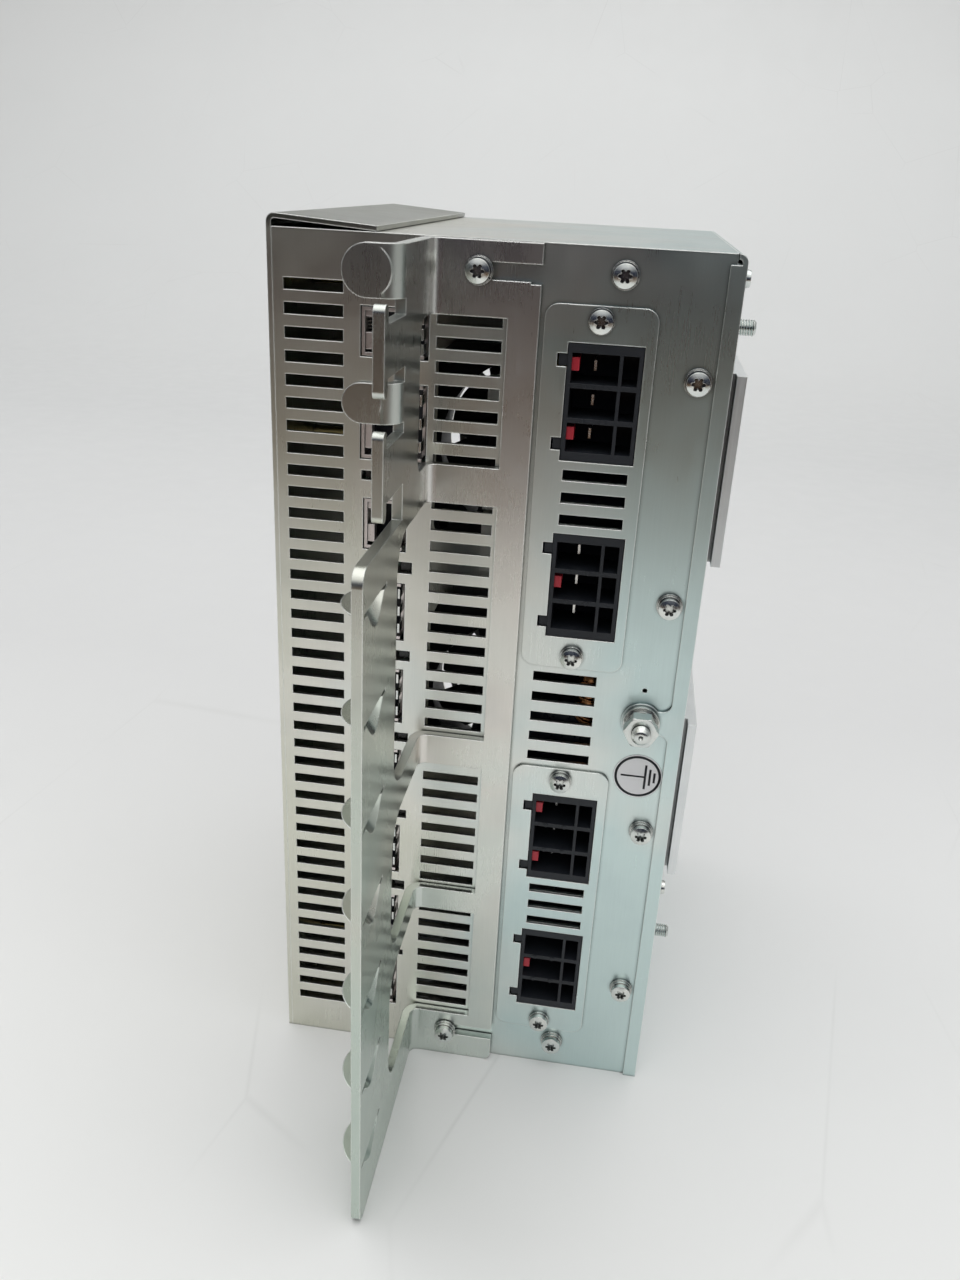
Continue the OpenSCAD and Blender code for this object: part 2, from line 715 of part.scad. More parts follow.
// Cooling block that passes through the right side and stands proud of it
module heatsink(z) color([0.78, 0.79, 0.8]) difference() {
    block(sink_x, sink_y, z);
    for (x = [sink_x[1] - 3, sink_x[1] - 7.5])
        block([x - sink_groove, x], [sink_y[0] - 1, sink_y[0] + 5], [z[0] - 1, z[1] + 1]);
    for (i = [0:8])
        block([sink_x[0] - 1, sink_x[0] + 8], [sink_y[0] + 10 + i * 12, sink_y[0] + 13 + i * 12],
              [z[0] - 1, z[1] + 1]);
}
module heatsink_lower() heatsink(sink_z[0]);
module heatsink_upper() heatsink(sink_z[1]);

module mounting_studs() color([0.7, 0.7, 0.68])
    for (z = stud_z) {
        rod_x(stud_y, z, side_x, side_x + stud_proud, stud_r);
        rod_x(stud_y, z, side_x - sheet, side_x, stud_collar_r);
        rod_x(stud_y, z, side_x - sheet - 2.5, side_x - sheet, stud_r * 1.6);
    }

module side_screws() color([0.6, 0.6, 0.6])
    for (p = side_screw_yz) {
        rod_x(p[0], p[1], side_x - 6, side_x, side_screw_r);
        translate([side_x, p[0], p[1]]) rotate([0, 90, 0]) cylinder(h = 1.9, r1 = 2.8, r2 = 2.3);
    }

// Blind rivets that join the side sheets to the back panel's edge, seen on the left side
module case_rivets() color([0.65, 0.66, 0.66])
    for (z = [25, 105, 190, 272], y = [front_y + 8, back_y - 10])
        translate([-side_x, y, z]) rotate([0, -90, 0]) cylinder(h = 0.9, r1 = 3, r2 = 2.2);

module power_board() color([0.05, 0.25, 0.16]) difference() {
    block([power_board_x, power_board_x + board_t], board_y, [10, 288]);
    for (y = [-50, 36], z = [16, 165, 282]) rod_x(y, z, power_board_x - 1, power_board_x + 3, 1.6);
}
module control_board() color([0.04, 0.22, 0.14]) difference() {
    block([control_board_x - board_t, control_board_x], board_y, [10, 288]);
    for (y = [-36, 36], z = [16, 229, 282])
        rod_x(y, z, control_board_x - board_t - 1, control_board_x + 1, 1.6);
}
module driver_board() color([0.06, 0.28, 0.18]) difference() {
    block([driver_board_x, driver_board_x + board_t], driver_board_y, driver_board_z);
    for (y = [-50, 36], z = [66, 262]) rod_x(y, z, driver_board_x - 1, driver_board_x + 3, 1.6);
}

// Threaded spacers that carry the boards
module board_spacers() color([0.72, 0.66, 0.4]) {
    for (y = [-36, 36], z = [16, 229, 282])
        rod_x(y, z, -side_x + sheet, control_board_x - board_t, 2.75);
    for (y = [-50, 36], z = [66, 262])
        rod_x(y, z, driver_board_x + board_t, power_board_x, 2.75);
    for (y = [-50, 36], z = [16, 165, 282])
        rod_x(y, z, power_board_x + board_t, side_x - sheet, 2.75);
}

// Smoothing capacitors on the power board, two columns of six
module capacitors() color([0.12, 0.13, 0.16])
    for (y = [-12, 20], k = [0:5]) rod_x(y, 86 + k * 31.4, driver_board_x + 6, power_board_x, 14.5);

// Transistor modules between the power board and the cooling blocks
module power_modules() color([0.15, 0.15, 0.16])
    for (z = sink_z)
        block([power_board_x + board_t, sink_x[0]], [-42, 40], [z[0] + 4, z[1] - 4]);

// Wound ring core behind the slots between the two connector plates
module filter_choke() color([0.62, 0.36, 0.16])
    translate([power_board_x - 9, -46, 149]) rotate([0, 90, 0])
        rotate_extrude() translate([10.5, 0]) circle(4.6, $fn = 32);

module relays() color([0.09, 0.09, 0.1])
    for (z = [30, 52]) block([power_board_x - 16, power_board_x], [-30, -2], [z - 8, z + 8]);

// Packages on both faces of the control board
module control_chips() color([0.07, 0.07, 0.08]) {
    left = control_board_x - board_t;
    block([left - 2, left], [-40, -12], [190, 218]);
    block([left - 2, left], [0, 22], [190, 212]);
    for (z = [40, 80, 120, 160]) block([left - 1.4, left], [-45, -25], [z, z + 12]);
    for (z = [30, 70, 110, 150]) rod_x(10, z, left - 12, left, 5);
}

// Light-coloured plugs on the driver board, behind the middle slots
module jumper_plugs() color([0.93, 0.93, 0.9])
    for (z = [250.5, 216, 205, 194])
        difference() {
            block([driver_board_x - 9, driver_board_x], [front_y + 26, front_y + 34], [z - 4.5, z + 4.5]);
            block([driver_board_x - 10, driver_board_x - 4], [front_y + 27.2, front_y + 32.8],
                  [z - 3.5, z + 3.5]);
        }

// Square frame with a round duct, four arms and the bearing of the rotor
module fan_frame(z) color([0.07, 0.07, 0.075]) {
    arm_t = 3;
    difference() {
        union() {
            difference() {
                along_y(fan_front_y, fan_depth) translate([0, z]) round_rect(fan_size, fan_size, 4);
                rod_y(0, z, fan_front_y - 1, fan_back_y + 1, fan_bore_r);
            }
            rod_y(0, z, fan_back_y - arm_t, fan_back_y, fan_hub_r);
            intersection() {
                rod_y(0, z, fan_back_y - arm_t, fan_back_y, fan_bore_r + 0.5);
                for (a = [20, 110]) translate([0, fan_back_y - arm_t / 2, z]) rotate([0, a, 0])
                    cube([2 * fan_bore_r + 1, arm_t, 3.2], center = true);
            }
        }
        rod_y(0, z, fan_back_y - arm_t - 1, fan_back_y - 0.8, fan_shaft_r + fan_play);
        for (sx = [-1, 1], sz = [-1, 1])
            rod_y(sx * fan_hole_pitch / 2, z + sz * fan_hole_pitch / 2,
                  fan_front_y - 1, fan_back_y + 1, m4_r);
    }
}
module fan_frame_upper() fan_frame(fan_z[1]);
module fan_frame_lower() fan_frame(fan_z[0]);

// Hub with pitched blades and the shaft that turns in the frame
module fan_rotor(z) color([0.09, 0.09, 0.095]) {
    hub_front = fan_front_y + 1.5;
    hub_back = fan_back_y - 4;
    blade_pitch = 56;
    blade_t = 1.4;
    rod_y(0, z, hub_front, hub_back, fan_hub_r);
    rod_y(0, z, hub_back, fan_back_y - 1.2, fan_shaft_r);
    intersection() {
        difference() {
            rod_y(0, z, hub_front + 1, hub_back - 1, fan_blade_r);
            rod_y(0, z, hub_front, hub_back, fan_hub_r - 0.5);
        }
        for (k = [0:blade_count - 1])
            translate([0, (hub_front + hub_back) / 2, z]) rotate([0, k * 360 / blade_count, 0])
                translate([fan_blade_r / 2, 0, 0]) rotate([blade_pitch, 0, 0])
                    cube([fan_blade_r * 1.2, 34, blade_t], center = true);
    }
}
module fan_rotor_upper() fan_rotor(fan_z[1]);
module fan_rotor_lower() fan_rotor(fan_z[0]);

module fan_screws() color([0.75, 0.75, 0.74])
    for (z = fan_z, sx = [-1, 1], sz = [-1, 1])
        mirror([0, 1, 0])
            pan_screw(sx * fan_hole_pitch / 2, z + sz * fan_hole_pitch / 2, -back_y, 14,
                      m4_r, m4_head_r, m4_head_h);

front_panel();
left_cover();
right_cover();
top_panel();
bottom_panel();
back_panel();
connector_plate_upper();
connector_plate_lower();
power_connector_1();
power_connector_2();
power_connector_3();
power_connector_4();
power_pins();
coding_keys();
bus_jack_1();
bus_jack_2();
signal_jack_1();
signal_jack_2();
signal_jack_3();
signal_jack_4();
signal_jack_5();
signal_jack_6();
signal_jack_7();
jack_contacts();
jack_springs();
status_lights();
earth_stud();
earth_washers();
earth_nut();
earth_label();
case_screws();
case_washers();
plate_screws();
plate_washers();
bracket_screws();
bracket_washers();
cable_bracket();
heatsink_upper();
heatsink_lower();
mounting_studs();
side_screws();
power_board();
control_board();
driver_board();
board_spacers();
capacitors();
power_modules();
filter_choke();
relays();
control_chips();
jumper_plugs();
fan_frame_upper();
fan_rotor_upper();
fan_frame_lower();
fan_rotor_lower();
fan_screws();
case_rivets();
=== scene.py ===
"""Servo drive: looks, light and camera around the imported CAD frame. All lengths are in metres."""
import json
import math
import random

import bpy
from mathutils import Matrix, Vector


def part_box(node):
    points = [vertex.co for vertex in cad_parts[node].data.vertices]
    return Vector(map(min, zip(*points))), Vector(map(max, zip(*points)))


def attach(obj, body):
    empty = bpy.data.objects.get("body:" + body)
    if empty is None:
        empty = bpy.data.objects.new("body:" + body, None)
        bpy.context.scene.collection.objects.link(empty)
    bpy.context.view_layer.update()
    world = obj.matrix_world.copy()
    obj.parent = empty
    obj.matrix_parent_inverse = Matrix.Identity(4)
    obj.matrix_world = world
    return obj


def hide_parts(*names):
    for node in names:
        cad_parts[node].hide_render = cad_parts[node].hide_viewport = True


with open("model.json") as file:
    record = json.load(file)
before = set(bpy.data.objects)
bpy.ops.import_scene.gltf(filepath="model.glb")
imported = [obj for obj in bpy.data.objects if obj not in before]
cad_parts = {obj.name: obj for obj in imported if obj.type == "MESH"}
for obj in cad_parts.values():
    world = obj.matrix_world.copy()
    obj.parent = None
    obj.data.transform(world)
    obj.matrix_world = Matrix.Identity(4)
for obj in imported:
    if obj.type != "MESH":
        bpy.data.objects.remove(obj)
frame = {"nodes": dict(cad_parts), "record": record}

MM = 0.001
X, Y, Z = range(3)
FULL_TURN = 2 * math.pi
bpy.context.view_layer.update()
nodes = frame["nodes"]
scene = bpy.context.scene


# ---------------------------------------------------------------- camera
def make_camera():
    """The photograph's view, solved from the edges of the case: from the front, the right and above."""
    place = Vector((40.9, -396.5, 314.1)) * MM
    away = Vector((0.11699, -0.91000, 0.39776)).normalized()
    roughly_up = Vector((-0.10259, 0.38729, 0.91623))
    right = roughly_up.cross(away).normalized()
    turn = Matrix((right, away.cross(right), away)).transposed()
    data = bpy.data.cameras.new("camera")
    data.lens, data.sensor_width = 30.07, 36.0
    data.clip_start, data.clip_end = 0.01, 20
    camera = bpy.data.objects.new("camera", data)
    camera.matrix_world = Matrix.Translation(place) @ turn.to_4x4()
    scene.collection.objects.link(camera)
    scene.camera = camera


make_camera()


# ---------------------------------------------------------------- node helpers
class Graph:
    """Short names for building the node tree of a material or of the world."""

    def __init__(self, owner, coords="Object"):
        owner.use_nodes = True
        self.owner = owner
        self.tree = owner.node_tree
        self.coords = self.add("ShaderNodeTexCoord").outputs[coords]

    def add(self, kind, **settings):
        node = self.tree.nodes.new(kind)
        for key, value in settings.items():
            setattr(node, key, value)
        return node

    def feed(self, socket, value):
        """Links a socket to another one, or gives it a number, a vector or a colour."""
        if isinstance(value, bpy.types.NodeSocket):
            self.tree.links.new(value, socket)
        elif socket.type == "RGBA":
            socket.default_value = (*value, 1)
        else:
            socket.default_value = value

    def stretched(self, scale, turn=(0, 0, 0)):
        """The coordinates scaled along each axis, and turned."""
        mapping = self.add("ShaderNodeMapping")
        mapping.inputs["Scale"].default_value = scale
        mapping.inputs["Rotation"].default_value = turn
        self.feed(mapping.inputs["Vector"], self.coords)
        return mapping.outputs["Vector"]

    def noise(self, scale, detail=3.0, rough=0.5, vector=None, distortion=0.0):
        node = self.add("ShaderNodeTexNoise")
        for key, value in (("Scale", scale), ("Detail", detail), ("Roughness", rough),
                           ("Distortion", distortion), ("Vector", vector or self.coords)):
            self.feed(node.inputs[key], value)
        return node.outputs["Fac"]

    def cells(self, scale, feature="F1", vector=None):
        """Distance to the middle of each cell, or to its edge."""
        node = self.add("ShaderNodeTexVoronoi", feature=feature)
        self.feed(node.inputs["Scale"], scale)
        self.feed(node.inputs["Vector"], vector or self.coords)
        return node.outputs["Distance"]

    def ramp(self, value, *stops):
        """Colours along a value; stops are (place, colour)."""
        node = self.add("ShaderNodeValToRGB")
        elements = node.color_ramp.elements
        while len(elements) < len(stops):
            elements.new(0.5)
        for element, (place, colour) in zip(elements, stops):
            element.position = place
            element.color = (*colour, 1)
        self.feed(node.inputs["Fac"], value)
        return node.outputs["Color"]

    def remap(self, value, start, end, low=0.0, high=1.0):
        node = self.add("ShaderNodeMapRange")
        for key, number in zip(("From Min", "From Max", "To Min", "To Max"), (start, end, low, high)):
            node.inputs[key].default_value = number
        self.feed(node.inputs["Value"], value)
        return node.outputs["Result"]

    def math(self, operation, a, b=0.0):
        node = self.add("ShaderNodeMath", operation=operation)
        self.feed(node.inputs[0], a)
        self.feed(node.inputs[1], b)
        return node.outputs["Value"]

    def axes(self):
        """The coordinates along X, Y and Z, one by one."""
        node = self.add("ShaderNodeSeparateXYZ")
        self.feed(node.inputs["Vector"], self.coords)
        return node.outputs["X"], node.outputs["Y"], node.outputs["Z"]

    def mix(self, factor, a, b, blend="MIX"):
        node = self.add("ShaderNodeMix", data_type="RGBA", blend_type=blend)
        self.feed(node.inputs["Factor"], factor)
        for socket, value in zip((s for s in node.inputs if s.type == "RGBA"), (a, b)):
            self.feed(socket, value)
        return next(s for s in node.outputs if s.type == "RGBA")

    def soft_edge(self, radius):
        """A rounded normal for sharp edges, and a mask that is 1 on them."""
        bevel = self.add("ShaderNodeBevel", samples=4)
        bevel.inputs["Radius"].default_value = radius
        dot = self.add("ShaderNodeVectorMath", operation="DOT_PRODUCT")
        self.feed(dot.inputs[0], bevel.outputs["Normal"])
        self.feed(dot.inputs[1], self.add("ShaderNodeNewGeometry").outputs["Normal"])
        return bevel.outputs["Normal"], self.remap(dot.outputs["Value"], 0.995, 0.9)

    def painted_crevice_shade(self, reach, colour, depth=0.75):
        """Painted shade: darkens a colour where faces closer than reach close it in, as occlusion would.
        """
        node = self.add("ShaderNodeAmbientOcclusion", samples=4)
        node.inputs["Distance"].default_value = reach
        painted_shade_amount = self.remap(node.outputs["AO"], 0.85, 0.35, 0.0, depth)
        return self.mix(painted_shade_amount, colour, (0.03, 0.03, 0.03), "MULTIPLY")

    def bump(self, height, strength, distance, normal=None):
        node = self.add("ShaderNodeBump")
        node.inputs["Strength"].default_value = strength
        node.inputs["Distance"].default_value = distance
        self.feed(node.inputs["Height"], height)
        if normal:
            self.feed(node.inputs["Normal"], normal)
        return node.outputs["Normal"]

    def finish(self, colour, roughness, normal=None, **constants):
        """Feeds the material's shader and returns the material."""
        bsdf = self.tree.nodes["Principled BSDF"]
        self.feed(bsdf.inputs["Base Color"], colour)
        self.feed(bsdf.inputs["Roughness"], roughness)
        if normal:
            self.feed(bsdf.inputs["Normal"], normal)
        for key, value in constants.items():
            self.feed(bsdf.inputs[key.replace("_", " ")], value)
        return self.owner


def new_graph(name):
    """The node tree of a new material."""
    return Graph(bpy.data.materials.new(name))


# ---------------------------------------------------------------- materials
def sheet_metal(name, tints, axis, span, darkening, rough):
    """Passivated steel sheet: tints that drift in clouds over a span of one axis, a fine vertical
    grain, smudges, and cut edges made pale as a painted highlight. darkening is (axis, start, end, tint)
    of a part that is painted darker."""
    g = new_graph(name)
    darkening_axis, darkening_start, darkening_end, darkening_tint = darkening
    drift = g.remap(g.axes()[axis], *span)
    clouds = g.math("ADD", drift, g.remap(g.noise(13, 3, 0.55, distortion=0.5), 0.3, 0.7, -0.3, 0.3))
    grain = g.noise(1, 4, 0.65, g.stretched((2400, 2400, 70)))
    smudge = g.noise(28, 4, 0.6)
    colour = g.ramp(clouds, *zip((0.1, 0.38, 0.62, 0.9), tints))
    colour = g.mix(g.remap(grain, 0.3, 0.7, 0.0, 0.3), colour, (0.88, 0.89, 0.88), "MULTIPLY")
    colour = g.mix(g.remap(smudge, 0.52, 0.75, 0.0, 0.35), colour, (0.84, 0.85, 0.88), "MULTIPLY")
    # Darkens one part along an axis: painted shade on the case's top, and the bracket only made darker
    # towards its front.
    colour = g.mix(g.remap(g.axes()[darkening_axis], darkening_start, darkening_end), colour, darkening_tint, "MULTIPLY")
    rounded, edge = g.soft_edge(0.45 * MM)
    # Painted highlight: cut edges lightened by the edge mask; painted shade: colour darkened where faces
    # close in.
    colour = g.painted_crevice_shade(1.2 * MM, g.mix(edge, colour, (0.97, 0.98, 0.95)))
    shine = g.math("ADD", g.remap(grain, 0.3, 0.7, -0.015, 0.015),
                   g.remap(smudge, 0.4, 0.7, rough - 0.02, rough + 0.05))
    normal = g.bump(grain, 0.03, 0.01 * MM, rounded)
    normal = g.bump(g.noise(40, 2), 0.2, 0.12 * MM, normal)
    return g.finish(colour, shine, normal, Metallic=1.0)


def bright_steel():
    """Plated screws, nuts, washers, studs and springs, lightly scuffed."""
    g = new_graph("bright_steel")
    scuffs = g.noise(700, 3, 0.6)
    colour = g.ramp(g.noise(160, 2), (0.3, (0.60, 0.64, 0.63)), (0.7, (0.74, 0.75, 0.71)))
    rounded, edge = g.soft_edge(0.22 * MM)
    # Painted highlight on the edges, and painted shade in the recesses and gaps.
    colour = g.painted_crevice_shade(1.6 * MM, g.mix(edge, colour, (0.94, 0.94, 0.9)), 0.9)
    return g.finish(colour, g.remap(scuffs, 0.3, 0.7, 0.16, 0.26),
                    g.bump(scuffs, 0.05, 0.01 * MM, rounded), Metallic=1.0)


def plastic(name, low, high, rough, grain):
    """Moulded plastic with a fine spark-eroded grain and slight shading changes."""
    g = new_graph(name)
    fine = g.noise(grain, 3, 0.6)
    colour = g.ramp(g.noise(60, 3), (0.3, low), (0.7, high))
    rounded, edge = g.soft_edge(0.25 * MM)
    # Painted highlight: the edges lightened.
    colour = g.mix(g.math("MULTIPLY", edge, 0.2), colour, [min(1, 2 * c + 0.01) for c in high])
    return g.finish(colour, g.remap(fine, 0.3, 0.7, rough - 0.06, rough + 0.08),
                    g.bump(fine, 0.18, 0.03 * MM, rounded))


def plain_metal(name, low, high, rough, stretch):
    """Metal whose fine drawing or milling lines run along the axis with the smallest stretch."""
    g = new_graph(name)
    lines = g.noise(1, 4, 0.6, g.stretched(stretch))
    colour = g.ramp(g.mix(0.5, lines, g.noise(90, 2)), (0.3, low), (0.7, high))
    rounded, edge = g.soft_edge(0.2 * MM)
    # Painted highlight on the edges, and painted shade where faces close in.
    colour = g.painted_crevice_shade(3 * MM, g.mix(g.math("MULTIPLY", edge, 0.6), colour, (0.95, 0.95, 0.93)))
    return g.finish(colour, g.remap(lines, 0.3, 0.7, rough - 0.06, rough + 0.08),
                    g.bump(lines, 0.2, 0.03 * MM, rounded), Metallic=1.0)


def circuit_board():
    """Solder mask over copper tracks, with pads."""
    g = new_graph("circuit_board")
    tracks = g.add("ShaderNodeTexBrick", offset=0.37, squash=0.6)
    g.feed(tracks.inputs["Vector"], g.stretched((1, 1, 1), (0, math.pi / 2, 0)))
    for key, value in (("Scale", 150), ("Mortar Size", 0.06), ("Mortar Smooth", 0.2), ("Bias", 0.0),
                       ("Brick Width", 0.9), ("Row Height", 0.35)):
        tracks.inputs[key].default_value = value
    mask = g.math("MULTIPLY", tracks.outputs["Fac"], g.remap(g.noise(45, 1), 0.48, 0.5))
    pads = g.remap(g.cells(240), 0.16, 0.19, 1.0, 0.0)
    colour = g.ramp(g.noise(20, 3), (0.3, (0.012, 0.075, 0.045)), (0.7, (0.02, 0.11, 0.06)))
    colour = g.mix(mask, colour, (0.05, 0.2, 0.1))
    colour = g.mix(pads, colour, (0.75, 0.74, 0.68))
    return g.finish(colour, g.remap(g.noise(300, 2), 0.3, 0.7, 0.22, 0.34),
                    g.bump(g.math("MAXIMUM", mask, pads), 0.4, 0.05 * MM), Coat_Weight=0.4)


def label_film():
    """Pale printed film with a faint fibre."""
    g = new_graph("label_film")
    fibre = g.noise(700, 3)
    colour = g.ramp(g.noise(90, 3), (0.3, (0.78, 0.78, 0.79)), (0.7, (0.86, 0.86, 0.87)))
    return g.finish(colour, g.remap(fibre, 0.3, 0.7, 0.28, 0.4), g.bump(fibre, 0.15, 0.02 * MM))


ZINC = ((0.67, 0.67, 0.585), (0.75, 0.74, 0.68), (0.71, 0.75, 0.72), (0.60, 0.72, 0.71))
BRACKET = ((0.66, 0.71, 0.67), (0.70, 0.72, 0.67), (0.74, 0.71, 0.66), (0.71, 0.70, 0.68))
# Parts painted darker: painted shade on the top with the cover's lap over it, standing in for the dim
# room it mirrors; the bracket darker ahead of its flange.
PAINTED_SHADE_TOP = (Z, 0.297, 0.3, (0.34, 0.355, 0.345))
DARKER_BRACKET_FRONT = (Y, -0.084, -0.092, (0.8, 0.84, 0.81))
finishes = {
    "zinc_sheet": sheet_metal("zinc_sheet", ZINC, X, (-0.08, 0.07), PAINTED_SHADE_TOP, 0.3),
    "bracket_sheet": sheet_metal("bracket_sheet", BRACKET, Z, (0.02, 0.26), DARKER_BRACKET_FRONT, 0.28),
    "bright_steel": bright_steel(),
    "circuit_board": circuit_board(),
    "label_film": label_film(),
}
for name, low, high, rough, grain in (
        ("black_plastic", (0.008, 0.010, 0.014), (0.013, 0.016, 0.022), 0.5, 1400),
        ("fan_plastic", (0.016, 0.016, 0.017), (0.024, 0.024, 0.026), 0.5, 1400),
        ("key_plastic", (0.42, 0.02, 0.035), (0.55, 0.03, 0.05), 0.38, 1400),
        ("pale_plastic", (0.74, 0.73, 0.68), (0.84, 0.83, 0.79), 0.4, 1400),
        ("light_plastic", (0.010, 0.011, 0.011), (0.018, 0.019, 0.019), 0.22, 1400),
        ("chip_plastic", (0.016, 0.016, 0.018), (0.026, 0.026, 0.028), 0.55, 2600),
        ("capacitor_sleeve", (0.012, 0.015, 0.035), (0.02, 0.025, 0.05), 0.3, 500)):
    finishes[name] = plastic(name, low, high, rough, grain)
for name, low, high, rough, stretch in (
        ("contact_metal", (0.74, 0.73, 0.70), (0.84, 0.82, 0.78), 0.25, (900, 80, 900)),
        ("jack_shell", (0.70, 0.64, 0.62), (0.80, 0.74, 0.71), 0.32, (1500, 90, 1500)),
        ("spacer_brass", (0.46, 0.36, 0.17), (0.55, 0.45, 0.23), 0.3, (60, 1500, 1500)),
        ("aluminium", (0.74, 0.76, 0.77), (0.86, 0.87, 0.87), 0.36, (1600, 1600, 30)),
        ("copper_wire", (0.62, 0.26, 0.10), (0.75, 0.36, 0.16), 0.24, (700, 700, 700))):
    finishes[name] = plain_metal(name, low, high, rough, stretch)

slot_of = {part["node"]: part["material_slot"] for part in frame["record"]["subparts"]}
for name, node in nodes.items():
    for held in node.material_slots:
        held.material = finishes[slot_of[name]]


# ---------------------------------------------------------------- mesh helpers
def add_piece(name, verts, faces, slot, smooth=True, bevel=None):
    """A piece of the standing case, in one material."""
    mesh = bpy.data.meshes.new(name)
    mesh.from_pydata(verts, [], faces)
    mesh.validate()
    piece = bpy.data.objects.new(name, mesh)
    scene.collection.objects.link(piece)
    mesh.materials.append(finishes[slot])
    if smooth:
        mesh.shade_smooth()
    else:
        mesh.shade_flat()
    if bevel:
        rounding = piece.modifiers.new("bevel", "BEVEL")
        rounding.width, rounding.segments, rounding.limit_method = bevel, 2, "ANGLE"
    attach(piece, "case")
    return piece


def band(first, second, sides):
    """Faces between two rings of points, given the number of each ring's first point."""
    return [[first + j, first + (j + 1) % sides, second + (j + 1) % sides, second + j]
            for j in range(sides)]


def turned(name, base, out, rings, slot, thread, sides=36):
    """A turned part along out. rings lists (distance, radius), and thread is the (start, end, pitch,
    depth) of the thread that is cut into its shank."""
    out = Vector(out)
    u = out.orthogonal().normalized()
    v = out.cross(u)
    start, end, pitch, depth = thread
    steps = round((end - start) / pitch * 8)
    before = [ring for ring in rings if ring[0] < start]
    after = [ring for ring in rings if ring[0] > end]
    shank = before[-1][1]
    cut_rings = [(start + (end - start) * i / steps, shank) for i in range(steps + 1)]
    rings = before + cut_rings + after
    verts = []
    for s, r in rings:
        for j in range(sides):
            a = FULL_TURN * j / sides
            cut = 0
            if start < s < end:
                cut = depth * (1 - abs(2 * ((s / pitch - j / sides) % 1) - 1))
            verts.append(base + out * s + (u * math.cos(a) + v * math.sin(a)) * (r - cut))
    last = (len(rings) - 1) * sides
    faces = [face for n in range(0, last, sides) for face in band(n, n + sides, sides)]
    faces += [list(range(sides))[::-1], [last + j for j in range(sides)]]
    piece = add_piece(name, verts, faces, slot)
    split = piece.modifiers.new("edges", "EDGE_SPLIT")
    split.split_angle = math.radians(42)
    return piece


def boxes(name, corners, slot, bevel):
    """Many small blocks in one piece, with rounded edges if bevel says so; corners lists (low, high)."""
    verts, faces = [], []
    for lo, hi in corners:
        n = len(verts)
        verts += [(x, y, z) for x in (lo[0], hi[0]) for y in (lo[1], hi[1]) for z in (lo[2], hi[2])]
        faces += [[n + k for k in f] for f in ((0, 1, 3, 2), (4, 6, 7, 5), (0, 4, 5, 1), (2, 3, 7, 6),
                                                (0, 2, 6, 4), (1, 5, 7, 3))]
    return add_piece(name, verts, faces, slot, False, bevel)


# ---------------------------------------------------------------- threaded studs
def earth_thread():
    """The M6 earth stud, from its head behind the front to its chamfered and dimpled end."""
    low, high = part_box("earth_stud")
    base = Vector(((low.x + high.x) / 2, high.y, (low.z + high.z) / 2))
    length = high.y - low.y
    shank, core = 3 * MM, 2.25 * MM
    thread_end = length - 0.9 * MM
    rings = [(0, 0.5 * MM), (0, 4.7 * MM), (0.4 * MM, 5.1 * MM), (2.5 * MM, 5.1 * MM), (2.5 * MM, shank),
             (length - 0.15 * MM, core), (length, 2.05 * MM), (length, 0.85 * MM),
             (length - 0.7 * MM, 0.1 * MM)]
    thread = (4.2 * MM, thread_end, 1.0 * MM, 0.42 * MM)
    earth = turned("earth_thread", base, (0, -1, 0), rings, "bright_steel", thread)
    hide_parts("earth_stud")


def mounting_threads():
    """The two M5 studs on the right side, one piece each."""
    low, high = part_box("mounting_studs")
    length = high.x - low.x
    head, shank = 4 * MM, 2.5 * MM
    thread_end = length - 0.7 * MM
    rings = [(0, 0.5 * MM), (0, head - 0.4 * MM), (0.4 * MM, head), (2.5 * MM, head), (2.5 * MM, shank),
             (length, 1.9 * MM), (length, 0.1 * MM)]
    thread = (4.2 * MM, thread_end, 0.8 * MM, 0.36 * MM)
    for n, z in enumerate((low.z + head, high.z - head), 1):
        base = Vector((low.x, (low.y + high.y) / 2, z))
        turned("mounting_thread_%d" % n, base, (1, 0, 0), rings, "bright_steel", thread)
    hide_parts("mounting_studs")


earth_thread()
mounting_threads()


# ---------------------------------------------------------------- earth symbol
def symbol():
    """Printed ring and earth symbol, a hair in front of the label."""
    low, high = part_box("earth_label")
    mid = (low + high) / 2
    y = low.y - 0.03 * MM
    steps = 96
    verts, faces = [], []
    for i in range(steps):
        a = FULL_TURN * i / steps
        for r in (6.95, 7.8):
            verts.append((mid.x + r * MM * math.cos(a), y, mid.z + r * MM * math.sin(a)))
        j = (i + 1) % steps
        faces.append([2 * i, 2 * i + 1, 2 * j + 1, 2 * j])
    stem_and_bars = ((-5.7, 2.3, 0.32), (2.1, 2.85, 4.6), (3.65, 4.4, 3.1), (5.15, 5.9, 1.9))
    for left, right, half in stem_and_bars:
        n = len(verts)
        corners = ((left, -half), (right, -half), (right, half), (left, half))
        verts += [(mid.x + x * MM, y, mid.z + z * MM) for x, z in corners]
        faces.append([n, n + 1, n + 2, n + 3])
    piece = add_piece("earth_symbol", verts, faces, "black_plastic")
    film = piece.modifiers.new("film", "SOLIDIFY")
    film.thickness, film.offset = 0.02 * MM, 0


symbol()


